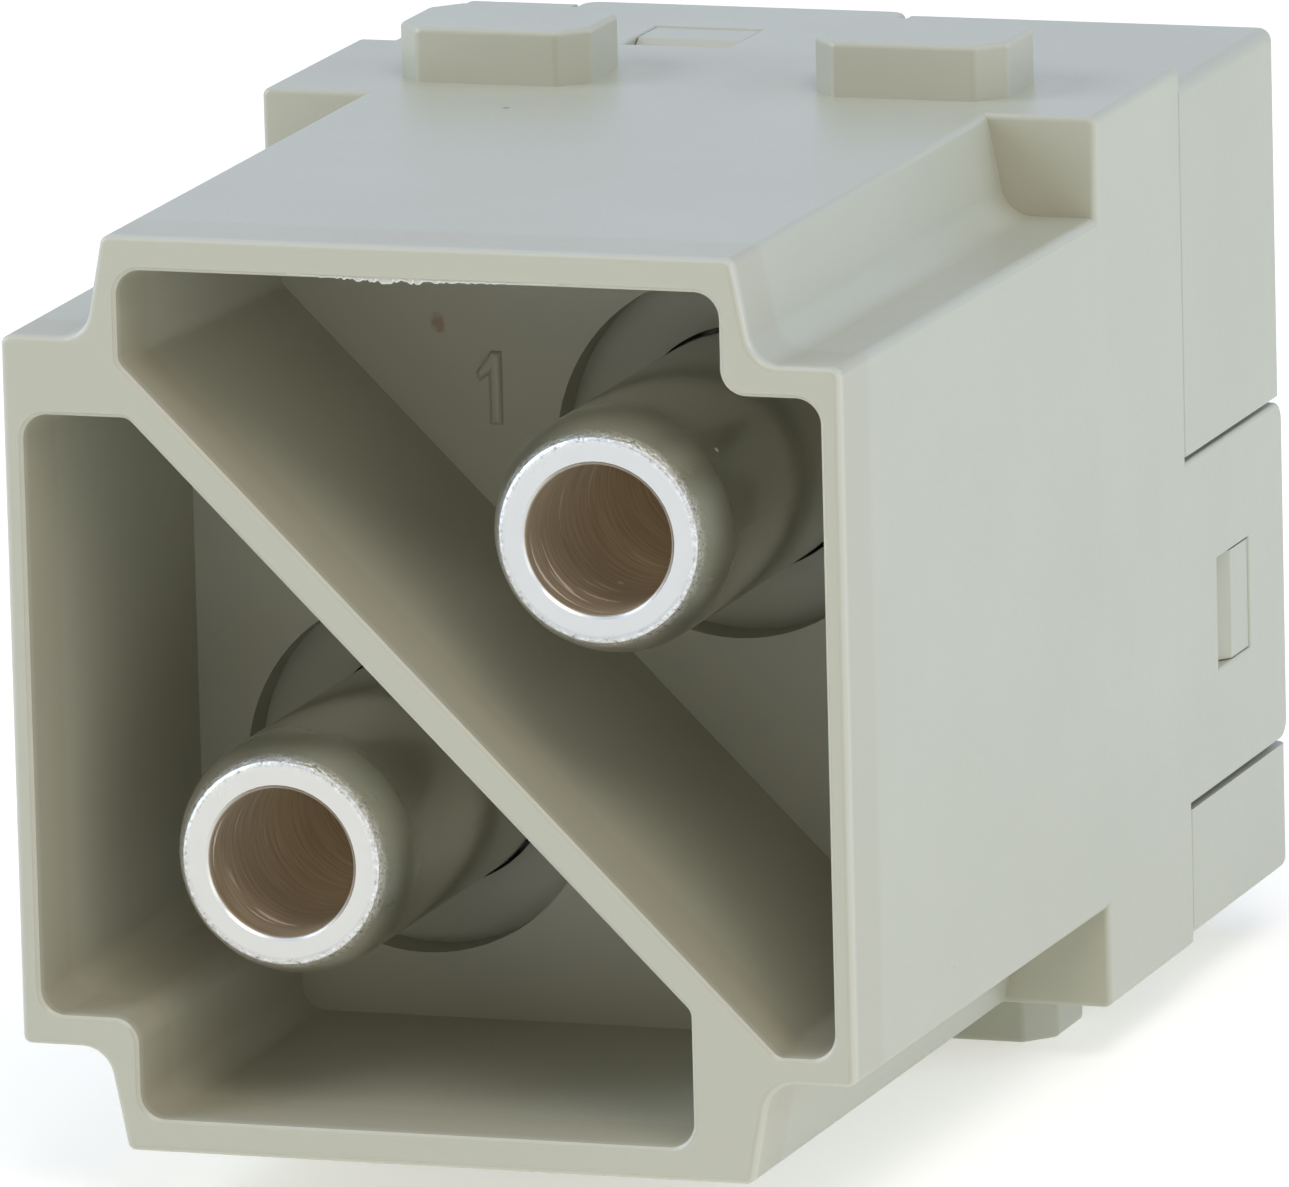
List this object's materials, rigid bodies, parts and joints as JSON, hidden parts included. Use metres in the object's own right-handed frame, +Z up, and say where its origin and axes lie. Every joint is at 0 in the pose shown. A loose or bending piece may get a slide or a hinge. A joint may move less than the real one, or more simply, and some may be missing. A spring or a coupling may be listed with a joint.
{
  "type": "connector insert module",
  "caption": "Grey plastic insert module for an industrial power connector: hollow silver-plated pins in walled chambers, guide lugs, latched rear cover.",
  "frame": {"origin": "middle of the box around the part, at the height of the lower guide lugs' faces", "axes": "+Y from the mating face to the cable end, +Z up, +X to the right as seen from the mating face"},
  "size_m": [0.0294, 0.0472, 0.034],
  "materials": {
    "housing_plastic": "matte",
    "cover_plastic": "matte",
    "silver_plating": "satin",
    "screw_steel": "satin"
  },
  "bodies": {
    "root": {"front_body": "housing_plastic", "rear_cover": "cover_plastic", "pin_contact_1": "silver_plating", "pin_contact_2": "silver_plating", "cone_screw_1": "screw_steel", "cone_screw_2": "screw_steel"}
  },
  "joints": []
}
